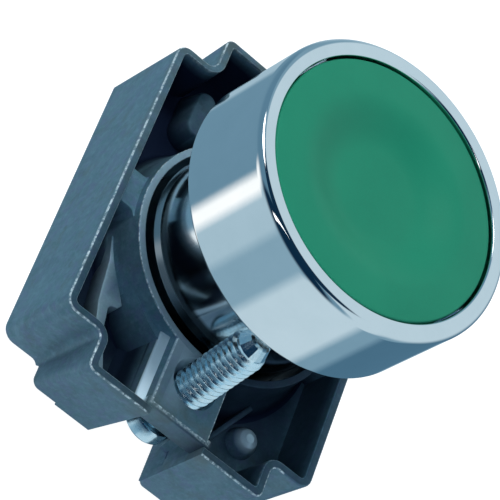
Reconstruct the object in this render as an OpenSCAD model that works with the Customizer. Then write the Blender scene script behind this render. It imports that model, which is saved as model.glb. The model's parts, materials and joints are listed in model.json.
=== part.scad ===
// Panel push button, 22 mm class, flush cap: a chromed operator head locked into a die-cast fixing collar.
// Origin: on the button's axis, in the plane where the bezel's rear face meets the panel.
// +Z points along the axis towards the operator, +Y towards the collar's lever side.

/* [Bezel and neck] */
// Diameter of the bezel
bezel_d = 29.5; // [28.5:0.1:30.5]
// Height of the bezel in front of the panel
bezel_h = 10.5; // [10:0.1:12]
// Radius of the bezel's front edge
bezel_edge_r = 0.75; // [0.4:0.05:1]
// Diameter of the neck just behind the bezel
neck_front_d = 21.2; // [20.8:0.1:21.6]
// Diameter of the neck where the collar sits
neck_d = 22.2; // [21.9:0.1:22.3]
// Length of the neck behind the panel plane
neck_len = 20.1; // [19.8:0.1:20.4]

/* [Push cap] */
// Diameter of the push cap
cap_d = 25.24; // [25:0.02:25.4]
// How far the cap's top lies below the bezel's front face
cap_recess = 0.15; // [0:0.05:0.4]
// Diameter over which the finger dish blends out
dish_d = 18; // [14:0.5:20]
// Depth of the finger dish
dish_depth = 0.6; // [0.2:0.05:0.8]
// Travel of the button
travel = 4; // [3:0.1:4]

/* [Collar] */
// Width of the collar
collar_w = 30.4; // [30:0.1:31]
// Distance from the axis to the lever end of the collar
collar_top = 22; // [21.8:0.1:23]
// Distance from the axis to the screw end of the collar
collar_bottom = 20.8; // [20.4:0.1:21.4]
// Depth of the collar
collar_h = 11; // [10.8:0.1:12]
// Distance from the panel plane to the collar's front rim
collar_gap = 10.4; // [10:0.1:10.8]
// Thickness of the collar's walls
wall = 0.9; // [0.8:0.05:1]
// Diameter of the bore that the neck sits in
collar_bore_d = 23.06; // [22.8:0.02:23.2]

/* [Clamp screw] */
// Thread diameter of the clamp screw
screw_d = 4; // [3.5:0.5:4]
// Lean of the clamp screw towards the axis
screw_tilt = 12; // [10:0.5:13]
// How far the screw stands out of the collar's boss
screw_out = 9.3; // [6:0.1:9.5]
// Diameter of the clamp screw's head
screw_head_d = 5; // [4.8:0.1:5.4]

/* [Locking lever] */
// Angle between locked and unlocked
lock_turn = 30; // [26:1:32]
// Reach of the lever from the axis
lever_reach = 25; // [24:0.5:26]

/* [Hidden] */
$fn = 96;

eps = 0.01;
corner_steps = 6;

// head
bezel_r = bezel_d / 2;
neck_front_r = neck_front_d / 2;
neck_r = neck_d / 2;
neck_bore_r = 9.6;
neck_step_z = -9.1;
cap_r = cap_d / 2;
cap_gap = 0.33;
well_r = cap_r + cap_gap;
well_z = 3;
cap_top_z = bezel_h - cap_recess;
cap_seat_z = 8.6;
cap_skirt_z = well_z + travel + 1.3;
groove_front_z = -17.3;
groove_rear_z = -19.1;
groove_r = 10.2;
gasket_r = [11.9, 13.7];
gasket_z = [-0.35, 0.6];
key_w = 2.9;
key_z = [-2.6, -0.5];
key_reach = 12.6;

// plunger and spring
plunger_r = 8.15;
plunger_bore_r = 6.25;
plunger_rear_z = -15.7;
flange_r = 9.9;
flange_t = 1;
bush_r = 8.2;
bush_z = [-13.4, -6];
washer_t = 0.3;
clip_t = 0.9;
stop_t = 0.75;
pusher_rear_z = -17.4;
spring_wire = 0.75;
spring_r = 8.95;
spring_turns = 6.5;
bead_h = 0.6;

// collar
front_z = -collar_gap;
rear_z = front_z - collar_h;
floor_z = front_z - 6;
floor_t = 1;
recess_bottom = 16.7;
recess_top = 17.4;
step_x = 10.7;
bore_r = collar_bore_d / 2;
ring_r = 12.27;
ring_foot_r = 13.2;
slot_w = 6.4;
bar_inset = 0.9;
bar_h = 2.4;
left_lean = 0.21;
right_lean = 0.03;
boss_w = 6.8;
boss_rear = 4.6;
post_at = [[-8.9, 14.4], [10.1, -12.3]];
post_r = 1.45;
post_h = 1.9;
cheek_rear_z = -20.5;
cheek_reach = 15.4;

// clamp screw, measured along its own axis from the point where it leaves the boss
screw_y = -15.18;
screw_r = screw_d / 2;
screw_clear = 0.05;
head_rear = -7.2;
head_front = -5.4;
point_len = 1.3;
point_r = 1.25;
head_bay_r = 3.05;

// lock
lock_rest = 90 - lock_turn / 2;
lock_z = [-18.9, -17.5];
lock_r = [11.35, 13.6];
lug_r = 10.3;
lug_span = 24;
lug_count = 3;
lever_w = 4.6;
grip_w = 6.4;
grip_from = 22.6;
grip_rear = 0.7;
grip_front = 0.32;
rivet_at = 23.8;
plate_z = [-19.9, -19.1];
plate_r = [11.5, 14];
tap_r = 0.95;

// shared shapes -------------------------------------------------------------

function unit(v) = v / norm(v);

// the points of one corner of a path, rounded to radius r
function corner(p, q, s, r) =
    r == 0 ? [q] :
    let (u = unit(p - q), v = unit(s - q),
         half = acos(u * v) / 2,
         c = q + unit(u + v) * r / sin(half),
         a = q + u * r / tan(half) - c,
         b = q + v * r / tan(half) - c,
         start = atan2(a.y, a.x),
         gap = atan2(b.y, b.x) - start,
         turn = gap > 180 ? gap - 360 : gap < -180 ? gap + 360 : gap)
    [for (i = [0 : corner_steps]) c + r * [cos(start + turn * i / corner_steps),
                                           sin(start + turn * i / corner_steps)]];

// a closed path of [x, y, radius] corners as plain points
function rounded(path) =
    let (n = len(path), flat = [for (p = path) [p.x, p.y]])
    [for (i = [0 : n - 1]) each corner(flat[(i + n - 1) % n], flat[i], flat[(i + 1) % n], path[i].z)];

module tube(r_in, r_out, z0, z1) {
    translate([0, 0, z0])
        difference() {
            cylinder(r = r_out, h = z1 - z0);
            translate([0, 0, -eps]) cylinder(r = r_in, h = z1 - z0 + 2 * eps);
        }
}

// a flat outline in Y and Z, carried along X
module along_x(x0, x1) {
    translate([x0, 0, 0]) rotate([90, 0, 90]) linear_extrude(x1 - x0) children();
}

// a flat outline in X and Z, carried along Y
module along_y(y0, y1) {
    translate([0, y1, 0]) rotate([90, 0, 0]) linear_extrude(y1 - y0) children();
}

// a block across the radius, from one radius to another, for notches and lugs
module radial_block(angle, r0, r1, w, z0, z1) {
    rotate([0, 0, angle]) translate([r0, -w / 2, z0]) cube([r1 - r0, w, z1 - z0]);
}

// everything inside one sector of a ring
module sector(span, r0, r1, z0, z1) {
    rotate([0, 0, -span / 2])
        rotate_extrude(angle = span)
            translate([r0, z0]) square([r1 - r0, z1 - z0]);
}

// the clamp screw's own frame: z along its axis, 0 where it leaves the boss
module on_screw_axis() {
    translate([0, screw_y, front_z]) rotate([-screw_tilt, 0, 0]) children();
}

// head ----------------------------------------------------------------------

// section of the chromed casting: bezel, cap well, gasket groove and neck
module head_section() {
    edge = [for (a = [0 : 15 : 90]) [bezel_r - bezel_edge_r + bezel_edge_r * cos(a),
                                     bezel_h - bezel_edge_r + bezel_edge_r * sin(a)]];
    rear_chamfer = 0.35;
    step_h = 0.5;
    polygon(concat(
        [[bezel_r - rear_chamfer, 0], [bezel_r, rear_chamfer]],
        edge,
        [[well_r, bezel_h], [well_r, well_z], [neck_bore_r, well_z],
         [neck_bore_r, bush_z[0]], [neck_bore_r + 0.45, bush_z[0]],
         [neck_bore_r + 0.45, bush_z[0] - clip_t - 0.1], [neck_bore_r, bush_z[0] - clip_t - 0.1],
         [neck_bore_r, -neck_len], [neck_r - 0.4, -neck_len], [neck_r, -neck_len + 0.4],
         [neck_r, groove_rear_z], [groove_r, groove_rear_z],
         [groove_r, groove_front_z], [neck_r, groove_front_z],
         [neck_r, neck_step_z - step_h], [neck_front_r, neck_step_z], [neck_front_r, 0],
         [gasket_r[0], 0], [gasket_r[0], gasket_z[1]], [gasket_r[1], gasket_z[1]], [gasket_r[1], 0]]));
}

module bezel_body() {
    color("silver")
        difference() {
            rotate_extrude() head_section();
            // entries of the bayonet, one lock turn away from the ring's lugs at rest
            for (i = [0 : lug_count - 1])
                rotate([0, 0, lock_rest + lock_turn + i * 360 / lug_count])
                    sector(lug_span + 4, groove_r + 0.05, neck_r + 1, -neck_len - 1, groove_rear_z + 0.5);
            radial_block(90, neck_front_r - 0.5, neck_front_r + 1, key_w, key_z[0], key_z[1]);
        }
}

module panel_gasket() {
    color("#202224") tube(gasket_r[0], gasket_r[1], gasket_z[0], gasket_z[1]);
}

module locating_key() {
    color("silver") radial_block(90, neck_front_r - 0.5, key_reach, key_w, key_z[0], key_z[1]);
}

// moving button ---------------------------------------------------------------

// depth of the finger dish at radius r, a smooth cosine bowl with a flat middle
function dish(r) = let (flat = dish_d * 0.2, rim = dish_d / 2)
    r <= flat ? dish_depth : r >= rim ? 0 :
    dish_depth * (1 + cos(180 * (r - flat) / (rim - flat))) / 2;

module push_cap() {
    edge_r = 0.45;
    top = [for (i = [0 : 24]) let (r = (cap_r - edge_r) * i / 24) [r, cap_top_z - dish(r)]];
    edge = [for (a = [75 : -15 : 0])
            [cap_r - edge_r + edge_r * cos(a), cap_top_z - edge_r + edge_r * sin(a)]];
    color("#1f8a63")
        rotate_extrude()
            polygon(concat(top, edge,
                [[cap_r, cap_skirt_z], [cap_r - 1.05, cap_skirt_z], [cap_r - 1.05, cap_seat_z],
                 [plunger_bore_r - 0.05, cap_seat_z], [plunger_bore_r - 0.05, cap_seat_z - 3],
                 [plunger_bore_r - 1.1, cap_seat_z - 3], [plunger_bore_r - 1.1, cap_seat_z],
                 [0, cap_seat_z]]));
}

module plunger() {
    web_z = -3;
    groove_z = bush_z[0] - clip_t - 0.2;
    color("#d9d9d2")
        rotate_extrude()
            polygon([[0, web_z], [plunger_bore_r, web_z], [plunger_bore_r, cap_seat_z],
                     [flange_r, cap_seat_z],
                     [flange_r, cap_seat_z - flange_t], [plunger_r, cap_seat_z - flange_t],
                     [plunger_r, groove_z], [plunger_r - 0.6, groove_z],
                     [plunger_r - 0.6, groove_z - stop_t], [plunger_r, groove_z - stop_t],
                     [plunger_r, plunger_rear_z], [plunger_bore_r, plunger_rear_z],
                     [plunger_bore_r, web_z - 1.2], [0, web_z - 1.2]]);
}

module contact_pusher() {
    plug_z = plunger_rear_z + 3;
    color("#3a3d40")
        difference() {
            rotate_extrude()
                polygon([[0, pusher_rear_z], [plunger_r - 0.4, pusher_rear_z],
                         [plunger_r - 0.15, pusher_rear_z + 0.25],
                         [plunger_r - 0.15, plunger_rear_z], [plunger_bore_r - 0.03, plunger_rear_z],
                         [plunger_bore_r - 0.03, plug_z], [plunger_bore_r - 1.4, plug_z],
                         [plunger_bore_r - 1.4, plunger_rear_z + 0.6], [0, plunger_rear_z + 0.6]]);
            // moulding cores between the three pushing pads
            for (x = [-2.9, 2.9]) translate([x - 0.5, -4, pusher_rear_z - 1]) cube([1, 8, 1.8]);
        }
}

// a round wire along a helix, as one swept solid with flat ends
module coil(r, wire, z0, z1, turns) {
    sides = 8;
    steps = ceil(turns * 20);
    pts = [for (i = [0 : steps]) for (k = [0 : sides - 1])
        let (a = 360 * turns * i / steps, b = 360 * k / sides,
             rr = r + wire / 2 * cos(b), z = z0 + (z1 - z0) * i / steps + wire / 2 * sin(b))
        [rr * cos(a), rr * sin(a), z]];
    skin = [for (i = [0 : steps - 1]) for (k = [0 : sides - 1])
        [i * sides + k, (i + 1) * sides + k,
         (i + 1) * sides + (k + 1) % sides, i * sides + (k + 1) % sides]];
    polyhedron(pts, concat([[for (k = [0 : sides - 1]) k]], skin,
                           [[for (k = [sides - 1 : -1 : 0]) steps * sides + k]]), 4);
}

module return_spring() {
    color("#a8adb2")
        coil(spring_r, spring_wire, bush_z[1] + washer_t + spring_wire / 2 + 0.02,
             cap_seat_z - flange_t - spring_wire / 2 - 0.02, spring_turns);
}

module spring_washer() {
    color("#b4b8bc") tube(bush_r + 0.1, neck_bore_r - 0.05, bush_z[1], bush_z[1] + washer_t);
}

module guide_bush() {
    color("#e2e2dc") tube(bush_r, neck_bore_r, bush_z[0], bush_z[1]);
}

// an open spring-steel ring with a gap of the given width
module open_ring(r0, r1, z0, z1, gap_angle, gap_w) {
    difference() {
        tube(r0, r1, z0, z1);
        radial_block(gap_angle, r0 - 1, r1 + 1, gap_w, z0 - 1, z1 + 1);
    }
}

module snap_ring() {
    color("#70757a") open_ring(plunger_r + 0.5, neck_bore_r + 0.4, bush_z[0] - clip_t, bush_z[0], 0, 4);
}

module stop_clip() {
    top = bush_z[0] - clip_t - 0.2;
    color("#70757a") open_ring(plunger_r - 0.6, neck_bore_r - 0.4, top - stop_t, top, 180, 7);
}

module seal_bellows() {
    color("#26282a")
        rotate_extrude()
            polygon([[10.9, well_z], [12.7, well_z], [12.7, well_z + bead_h], [11.9, well_z + bead_h],
                     [11.35, 5.2], [11.45, 6.4], [10.7, cap_seat_z - 0.1], [flange_r, cap_seat_z - 0.1],
                     [flange_r, cap_seat_z - flange_t + 0.1], [10.3, cap_seat_z - flange_t],
                     [10.95, 6.3], [10.85, 5.1], [11.3, well_z + bead_h], [10.9, well_z + bead_h]]);
}

module seal_clamp_ring() {
    color("#b4b8bc") tube(12, well_r - 0.05, well_z + bead_h, well_z + bead_h + 0.5);
}

// fixing collar -----------------------------------------------------------------

// outline of the casting, moved inwards by inset; back is 0 at the front rim and 1 at the rear rim
function collar_path(inset, back) =
    let (w = collar_w / 2 - inset - 0.1 * back, s = step_x - inset - 0.1 * back,
         rb = recess_bottom - inset - 0.95 * back,
         pl = collar_bottom - inset - left_lean * collar_h * back,
         pr = collar_bottom - inset - right_lean * collar_h * back,
         top_inset = inset * 0.8 + 0.45 * back, rt = recess_top - top_inset, pt = collar_top - top_inset,
         outer_corner = inset == 0 ? 1.4 : 0.6, inner_corner = 0.7 + inset, nose = inset == 0 ? 0.9 : 0.4)
    [[-w, -rb, outer_corner], [-s, -rb, inner_corner], [-s, -pl, nose], [-slot_w / 2, -pl, 0],
     [slot_w / 2, -pr, 0], [s, -pr, nose], [s, -rb, inner_corner], [w, -rb, outer_corner],
     [w, rt, outer_corner], [s, rt, inner_corner + 0.3], [s, pt, nose],
     [-s, pt, nose], [-s, rt, inner_corner + 0.3], [-w, rt, outer_corner]];

// a solid that fills the outline from the front rim to the rear rim
module collar_block(inset) {
    front = rounded(collar_path(inset, 0));
    back = rounded(collar_path(inset, 1));
    n = len(front);
    polyhedron(concat([for (p = front) [p.x, p.y, front_z]], [for (p = back) [p.x, p.y, rear_z]]),
               concat([[for (i = [n - 1 : -1 : 0]) i]], [[for (i = [0 : n - 1]) n + i]],
                      [for (i = [0 : n - 1]) [i, (i + 1) % n, n + (i + 1) % n, n + i]]), 4);
}

// the casting's wall all round, as one ring of flat facets
module collar_shell() {
    loops = [for (inset = [0, wall]) for (back = [0, 1])
        [for (p = rounded(collar_path(inset, back))) [p.x, p.y, back == 0 ? front_z : rear_z]]];
    n = len(loops[0]);
    polyhedron([for (loop = loops) each loop],
               [for (i = [0 : n - 1]) let (j = (i + 1) % n)
                    each [[i, j, n + j, n + i], [2 * n + j, 2 * n + i, 3 * n + i, 3 * n + j],
                          [j, i, 2 * n + i, 2 * n + j], [n + i, n + j, 3 * n + j, 3 * n + i]]], 6);
}

// cheek beside the clamp screw's slot, from the lower wall towards the ring
module cheek(side) {
    x = side * slot_w / 2;
    translate([min(x, x + side * wall), -collar_bottom + 0.5, cheek_rear_z])
        cube([wall, collar_bottom - 0.5 - cheek_reach, front_z - cheek_rear_z - 0.4]);
}

module collar_walls() {
    difference() {
        union() {
            collar_shell();
            intersection() {
                collar_block(wall / 2);
                union() {
                    cheek(-1);
                    cheek(1);
                    along_x(-slot_w / 2 - wall, slot_w / 2 + wall)
                        translate([-collar_bottom + bar_inset, front_z - bar_h]) square([1.2, bar_h]);
                }
            }
        }
        // the screw's slot, open to the rear, and the set-back face of the bar in front of it
        translate([-slot_w / 2, -collar_bottom - 1, rear_z - 1]) cube([slot_w, 5, collar_h - bar_h + 1]);
        translate([-slot_w / 2, -collar_bottom - 1, rear_z - 1]) cube([slot_w, 1 + bar_inset, collar_h + 2]);
        // the lower walls' rear edges lie in front of the long walls' rear edges
        translate([-step_x - 1, -collar_bottom - 1, rear_z - 1]) cube([step_x - 6.3, 5.1, 1.6]);
        translate([-step_x - 1, -collar_bottom - 1, rear_z - 1]) cube([step_x + 1, 5.1, 1.1]);
        translate([0, -collar_bottom - 1, rear_z - 1]) cube([step_x + 1, 5.1, 1.9]);
        // the lever's window, open to the rear
        translate([-9.4, collar_top - 3, rear_z - 1]) cube([18.8, 5, -rear_z + lock_z[1] + 1.4]);
    }
}

// tube that the neck sits in, flaring into the floor
module collar_ring() {
    rotate_extrude()
        polygon([[bore_r - 1, front_z], [ring_r, front_z], [ring_foot_r, floor_z],
                 [ring_foot_r, floor_z - floor_t], [bore_r - 1, floor_z - floor_t]]);
}

module collar_floor() {
    translate([0, 0, floor_z - floor_t])
        linear_extrude(floor_t)
            difference() {
                polygon(rounded(collar_path(wall - 0.35, 0.58)));
                circle(r = bore_r - 1);
            }
}

// block that carries the clamp screw, with its stepped flank
module screw_boss() {
    w = boss_w / 2;
    along_y(-collar_bottom + bar_inset + 0.5, -bore_r + 0.5)
        polygon([[w, front_z], [w + 0.3, floor_z - 0.5], [-w - 2.3, floor_z - 0.5],
                 [-w - 1.4, front_z - 1.05], [-w - 0.45, front_z - 0.6], [-w, front_z]]);
}

// round post with a domed top, for a retainer screw from behind
module round_post(at) {
    translate([at.x, at.y, floor_z])
        rotate_extrude()
            polygon([[0, -0.5], [post_r, -0.5], [post_r - 0.1, post_h - 0.6], [post_r - 0.45, post_h - 0.15],
                     [0, post_h]]);
}

// long post beside the step of the upper wall, narrower at its top
module long_post(at) {
    hull()
        for (y = [-1.6, 1.6])
            translate([at.x, at.y + y, floor_z - eps])
                cylinder(r1 = post_r + 0.1, r2 = 0.95, h = post_h + 0.7, $fn = 32);
}

// short web between a long wall and the ring
module side_bridge() {
    translate([-collar_w / 2 + wall / 2, -2.4, floor_z - eps]) cube([2.9, 4.2, 5]);
}

// thin rib running off the ring's flank towards the slot
module slanted_rib() {
    translate([-11.35, -6.4, floor_z - eps])
        rotate([0, 0, -70])
            translate([0, -0.4, 0]) cube([13.3, 0.8, 2.41]);
}

module collar_frame() {
    color("#5f7178")
        difference() {
            union() {
                collar_walls();
                collar_ring();
                collar_floor();
                screw_boss();
                for (turn = [0, 180]) rotate([0, 0, turn]) side_bridge();
                slanted_rib();
                long_post(post_at[0]);
                round_post(post_at[1]);
            }
            translate([0, 0, rear_z - 1]) cylinder(r = bore_r, h = collar_h + 2);
            // room for the lever grip under the edge of the floor
            translate([-9.4, collar_top - 1.3, rear_z - 1]) cube([18.8, 3, -rear_z + lock_z[1] + 1.4]);
            // the way to the screw's head, below the bar
            translate([-slot_w / 2, -collar_bottom, rear_z - 1]) cube([slot_w, 2.8, collar_h - bar_h + 1]);
            on_screw_axis() {
                translate([0, 0, -boss_rear - 1]) cylinder(r = screw_r + screw_clear, h = boss_rear + 3);
                translate([0, 0, -0.9]) cylinder(r1 = screw_r + screw_clear, r2 = screw_r + 0.6, h = 1.5);
                translate([0, 0, -boss_rear - 14]) cylinder(r = head_bay_r, h = 14);
            }
            for (at = post_at)
                translate([at.x, at.y, rear_z]) cylinder(r = tap_r, h = floor_z - rear_z + 0.9);
        }
}

module clamp_screw() {
    slot_d = 1;
    color("#b9cdd3")
        on_screw_axis()
            difference() {
                rotate_extrude()
                    polygon([[0, head_rear], [screw_head_d / 2 - 0.3, head_rear],
                             [screw_head_d / 2, head_rear + 0.3], [screw_head_d / 2, head_front],
                             [screw_r, head_front], [screw_r, screw_out - point_len],
                             [point_r, screw_out - 0.25], [point_r - 0.25, screw_out], [0, screw_out]]);
                for (turn = [45, 135]) rotate([0, 0, turn])
                    translate([-1.6, -0.35, head_rear - 1]) cube([3.2, 0.7, 1 + slot_d]);
                translate([-3, -0.3, head_rear - 1]) cube([6, 0.6, 1.5]);
            }
}

// lock --------------------------------------------------------------------------

module lock_ring() {
    color("#8d979b")
        rotate([0, 0, lock_rest]) {
            difference() {
                tube(lock_r[0], lock_r[1], lock_z[0], lock_z[1]);
                // detent notches
                for (a = [0, -lock_turn])
                    rotate([0, 0, a - lock_rest])
                        translate([lock_r[1] + 0.9, 0, lock_z[0] - 1]) cylinder(r = 1.2, h = 4);
            }
            for (i = [0 : lug_count - 1])
                rotate([0, 0, i * 360 / lug_count])
                    sector(lug_span, lug_r, lock_r[0] + 0.2, lock_z[0], lock_z[1]);
            difference() {
                translate([lock_r[0] + 0.3, -lever_w / 2, lock_z[0]])
                    cube([rivet_at + 0.9 - lock_r[0] - 0.3, lever_w, lock_z[1] - lock_z[0]]);
                translate([rivet_at, 0, lock_z[0] - 1]) cylinder(r = 0.8, h = 4);
            }
        }
}

module lever_grip() {
    color("#2b2d2f")
        rotate([0, 0, lock_rest])
            difference() {
                translate([grip_from, -grip_w / 2, lock_z[0] - grip_rear])
                    cube([lever_reach - grip_from, grip_w, lock_z[1] - lock_z[0] + grip_rear + grip_front]);
                translate([grip_from - 1, -lever_w / 2, lock_z[0]])
                    cube([rivet_at + 0.9 - grip_from + 1, lever_w, lock_z[1] - lock_z[0]]);
                translate([rivet_at, 0, lock_z[0] - 2]) cylinder(r = 0.8, h = 5);
                // thumb grooves
                for (y = [-1.6, 0, 1.6])
                    translate([lever_reach, y, lock_z[0] - 2]) cylinder(r = 0.35, h = 5);
            }
}

module lever_rivet() {
    color("#b4b8bc")
        rotate([0, 0, lock_rest])
            translate([rivet_at, 0, 0]) {
                translate([0, 0, lock_z[0] - grip_rear - 0.25]) cylinder(r = 1, h = 0.25);
                translate([0, 0, lock_z[0] - grip_rear])
                    cylinder(r = 0.8, h = lock_z[1] - lock_z[0] + grip_rear + grip_front);
                translate([0, 0, lock_z[1] + grip_front]) cylinder(r = 1, h = 0.25);
            }
}

module retainer_plate() {
    color("#a2aab0")
        difference() {
            union() {
                tube(plate_r[0], plate_r[1], plate_z[0], plate_z[1]);
                for (at = post_at)
                    rotate([0, 0, atan2(at.y, at.x)])
                        translate([plate_r[0] + 0.3, -1.5, plate_z[0]])
                            cube([norm(at) - plate_r[0] - 0.3, 3, plate_z[1] - plate_z[0]]);
                for (at = post_at)
                    translate([at.x, at.y, plate_z[0]]) cylinder(r = 1.8, h = plate_z[1] - plate_z[0]);
            }
            for (at = post_at) translate([at.x, at.y, plate_z[0] - 1]) cylinder(r = 1.1, h = 3);
        }
}

// two spacers are cast on the screws' collars, so that the plate stands off the floor
module retainer_screws() {
    color("#c4c9cc")
        for (at = post_at)
            translate([at.x, at.y, 0]) {
                translate([0, 0, plate_z[1]]) cylinder(r = 1.6, h = floor_z - floor_t - plate_z[1]);
                translate([0, 0, plate_z[0]]) cylinder(r = tap_r, h = floor_z + 0.9 - plate_z[0]);
                difference() {
                    translate([0, 0, plate_z[0] - 1]) cylinder(r = 1.8, h = 1);
                    translate([-2.5, -0.25, plate_z[0] - 1.5]) cube([5, 0.5, 1]);
                }
            }
}

// leaf spring in the right-hand wall, its bump facing the ring's notches
module detent_spring() {
    x = collar_w / 2 - wall - 0.08;
    color("#9aa0a5")
        translate([0, 0, lock_z[0]])
            linear_extrude(lock_z[1] - lock_z[0])
                polygon([[x, -5.5], [x, 5.5], [x - 0.25, 5.5], [x - 0.25, 1], [x - 0.6, 0.3],
                         [x - 0.6, -0.3], [x - 0.25, -1], [x - 0.25, -5.5]]);
}

bezel_body();
panel_gasket();
locating_key();
push_cap();
plunger();
contact_pusher();
return_spring();
spring_washer();
guide_bush();
snap_ring();
stop_clip();
seal_bellows();
seal_clamp_ring();
collar_frame();
clamp_screw();
lock_ring();
lever_grip();
lever_rivet();
retainer_plate();
retainer_screws();
detent_spring();
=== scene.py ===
"""Looks for the panel push button: chromed operator head, green cap, die-cast fixing collar and clamp screw.

Lengths are written in millimetres in the CAD frame and turned into metres when a mesh is made.
"""
import json
import math

import bpy
import bmesh
import numpy as np
from mathutils import Matrix, Vector


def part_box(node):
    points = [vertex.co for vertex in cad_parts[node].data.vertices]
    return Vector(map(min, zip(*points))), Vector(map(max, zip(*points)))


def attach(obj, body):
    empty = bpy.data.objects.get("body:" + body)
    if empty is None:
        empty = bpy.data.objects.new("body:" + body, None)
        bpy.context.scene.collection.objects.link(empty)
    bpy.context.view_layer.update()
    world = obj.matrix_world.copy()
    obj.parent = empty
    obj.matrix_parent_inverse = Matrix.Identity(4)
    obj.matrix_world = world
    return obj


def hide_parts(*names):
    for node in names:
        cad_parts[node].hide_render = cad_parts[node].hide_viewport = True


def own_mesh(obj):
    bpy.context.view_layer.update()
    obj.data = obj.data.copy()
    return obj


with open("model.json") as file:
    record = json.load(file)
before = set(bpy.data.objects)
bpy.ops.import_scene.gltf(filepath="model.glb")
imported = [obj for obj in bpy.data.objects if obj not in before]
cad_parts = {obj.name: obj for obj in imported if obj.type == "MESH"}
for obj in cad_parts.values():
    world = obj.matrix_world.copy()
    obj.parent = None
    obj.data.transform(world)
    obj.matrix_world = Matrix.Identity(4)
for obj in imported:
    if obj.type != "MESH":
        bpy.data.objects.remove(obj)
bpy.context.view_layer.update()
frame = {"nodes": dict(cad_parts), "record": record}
MM = 0.001
scene = bpy.context.scene


# ---------------------------------------------------------------- camera

def make_camera():
    data = bpy.data.cameras.new("camera")
    data.sensor_width = 36.0
    data.lens = 206.8
    data.clip_start = 0.01
    data.clip_end = 20.0
    cam = bpy.data.objects.new("camera", data)
    right = Vector((0.7236, 0.2924, 0.6253)).normalized()
    back = Vector((-0.3597, -0.6135, 0.7031)).normalized()
    up = back.cross(right).normalized()
    right = up.cross(back)
    m = Matrix((right, up, back)).transposed().to_4x4()
    m.translation = Vector((-0.09869, -0.16641, 0.18269))
    cam.matrix_world = m
    scene.collection.objects.link(cam)
    scene.camera = cam


make_camera()
scene.view_settings.view_transform = "Standard"
scene.view_settings.look = "None"


# ---------------------------------------------------------------- mesh helpers

def piece(name, verts, faces, body, slot, material, sharp=32.0, replaces=()):
    """A mesh object from points in millimetres, shaded smooth below the sharp angle."""
    mesh = bpy.data.meshes.new(name)
    mesh.from_pydata([Vector(v) * MM for v in verts], [], faces)
    mesh.validate()
    bm = bmesh.new()
    bm.from_mesh(mesh)
    bmesh.ops.remove_doubles(bm, verts=bm.verts, dist=1e-6)
    bmesh.ops.recalc_face_normals(bm, faces=bm.faces)
    bm.to_mesh(mesh)
    bm.free()
    return settle(name, mesh, body, material, sharp, replaces)


def settle(name, mesh, body, material, sharp=32.0, replaces=()):
    mesh.shade_smooth()
    mesh.set_sharp_from_angle(angle=math.radians(sharp))
    mesh.materials.clear()
    mesh.materials.append(material)
    obj = bpy.data.objects.new(name, mesh)
    scene.collection.objects.link(obj)
    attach(obj, body)
    if replaces:
        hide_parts(*replaces)
    return obj


def with_modifiers(obj, *setups):
    """Adds modifiers, takes the resulting mesh, and leaves the object with no modifier."""
    for kind, settings in setups:
        mod = obj.modifiers.new(kind, kind)
        for key, value in settings.items():
            setattr(mod, key, value)
    graph = bpy.context.evaluated_depsgraph_get()
    graph.update()
    mesh = bpy.data.meshes.new_from_object(obj.evaluated_get(graph))
    materials = [m for m in obj.data.materials]
    obj.modifiers.clear()
    obj.data = mesh
    mesh.materials.clear()
    for m in materials:
        mesh.materials.append(m)
    return obj


def arc_corner(p, q, s, r, steps):
    """Points of the corner at q between p and s, rounded to radius r."""
    p, q, s = (np.array(v, float) for v in (p, q, s))
    if r <= 0:
        return [q]
    u, v = (p - q) / np.linalg.norm(p - q), (s - q) / np.linalg.norm(s - q)
    c = float(np.clip(u @ v, -1, 1))
    half = math.acos(c) / 2
    if half > math.radians(89.5):
        return [q]
    room = min(np.linalg.norm(p - q), np.linalg.norm(s - q)) * 0.49
    reach = min(r / math.tan(half), room)
    r = reach * math.tan(half)
    centre = q + (u + v) / np.linalg.norm(u + v) * r / math.sin(half)
    a, b = q + u * reach - centre, q + v * reach - centre
    start = math.atan2(a[1], a[0])
    turn = math.atan2(b[1], b[0]) - start
    turn = (turn + math.pi) % (2 * math.pi) - math.pi
    return [centre + r * np.array((math.cos(start + turn * i / steps), math.sin(start + turn * i / steps)))
            for i in range(steps + 1)]


def rounded(path, steps=5, hold=0.0):
    """A closed outline of (x, y, radius) corners as points. With hold, a point just past each arc keeps the
    straight sides shaded straight."""
    n = len(path)
    out = []
    for i in range(n):
        p, q, s = path[i - 1], path[i], path[(i + 1) % n]
        arc = arc_corner(p[:2], q[:2], s[:2], q[2], steps)
        if hold and len(arc) > 1:
            for end, far in ((arc[0], np.array(p[:2], float)), (arc[-1], np.array(s[:2], float))):
                gap = float(np.linalg.norm(far - end))
                if gap > 6 * hold:
                    extra = end + (far - end) * hold / gap
                    arc = [extra] + arc if end is arc[0] else arc + [extra]
        out += arc
    return out


def rounded_open(path, steps=5):
    """An open run of (x, y, radius) corners as points; its two ends stay sharp."""
    out = [np.array(path[0][:2], float)]
    for p, q, s in zip(path, path[1:], path[2:]):
        out += arc_corner(p[:2], q[:2], s[:2], q[2], steps)
    return out + [np.array(path[-1][:2], float)]


def resample(outline, step):
    """The same closed outline with no side longer than step."""
    out = []
    for p, q in zip(outline, list(outline[1:]) + [outline[0]]):
        n = max(1, math.ceil(float(np.linalg.norm(q - p)) / step))
        out += [p + (q - p) * i / n for i in range(n)]
    return out


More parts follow.
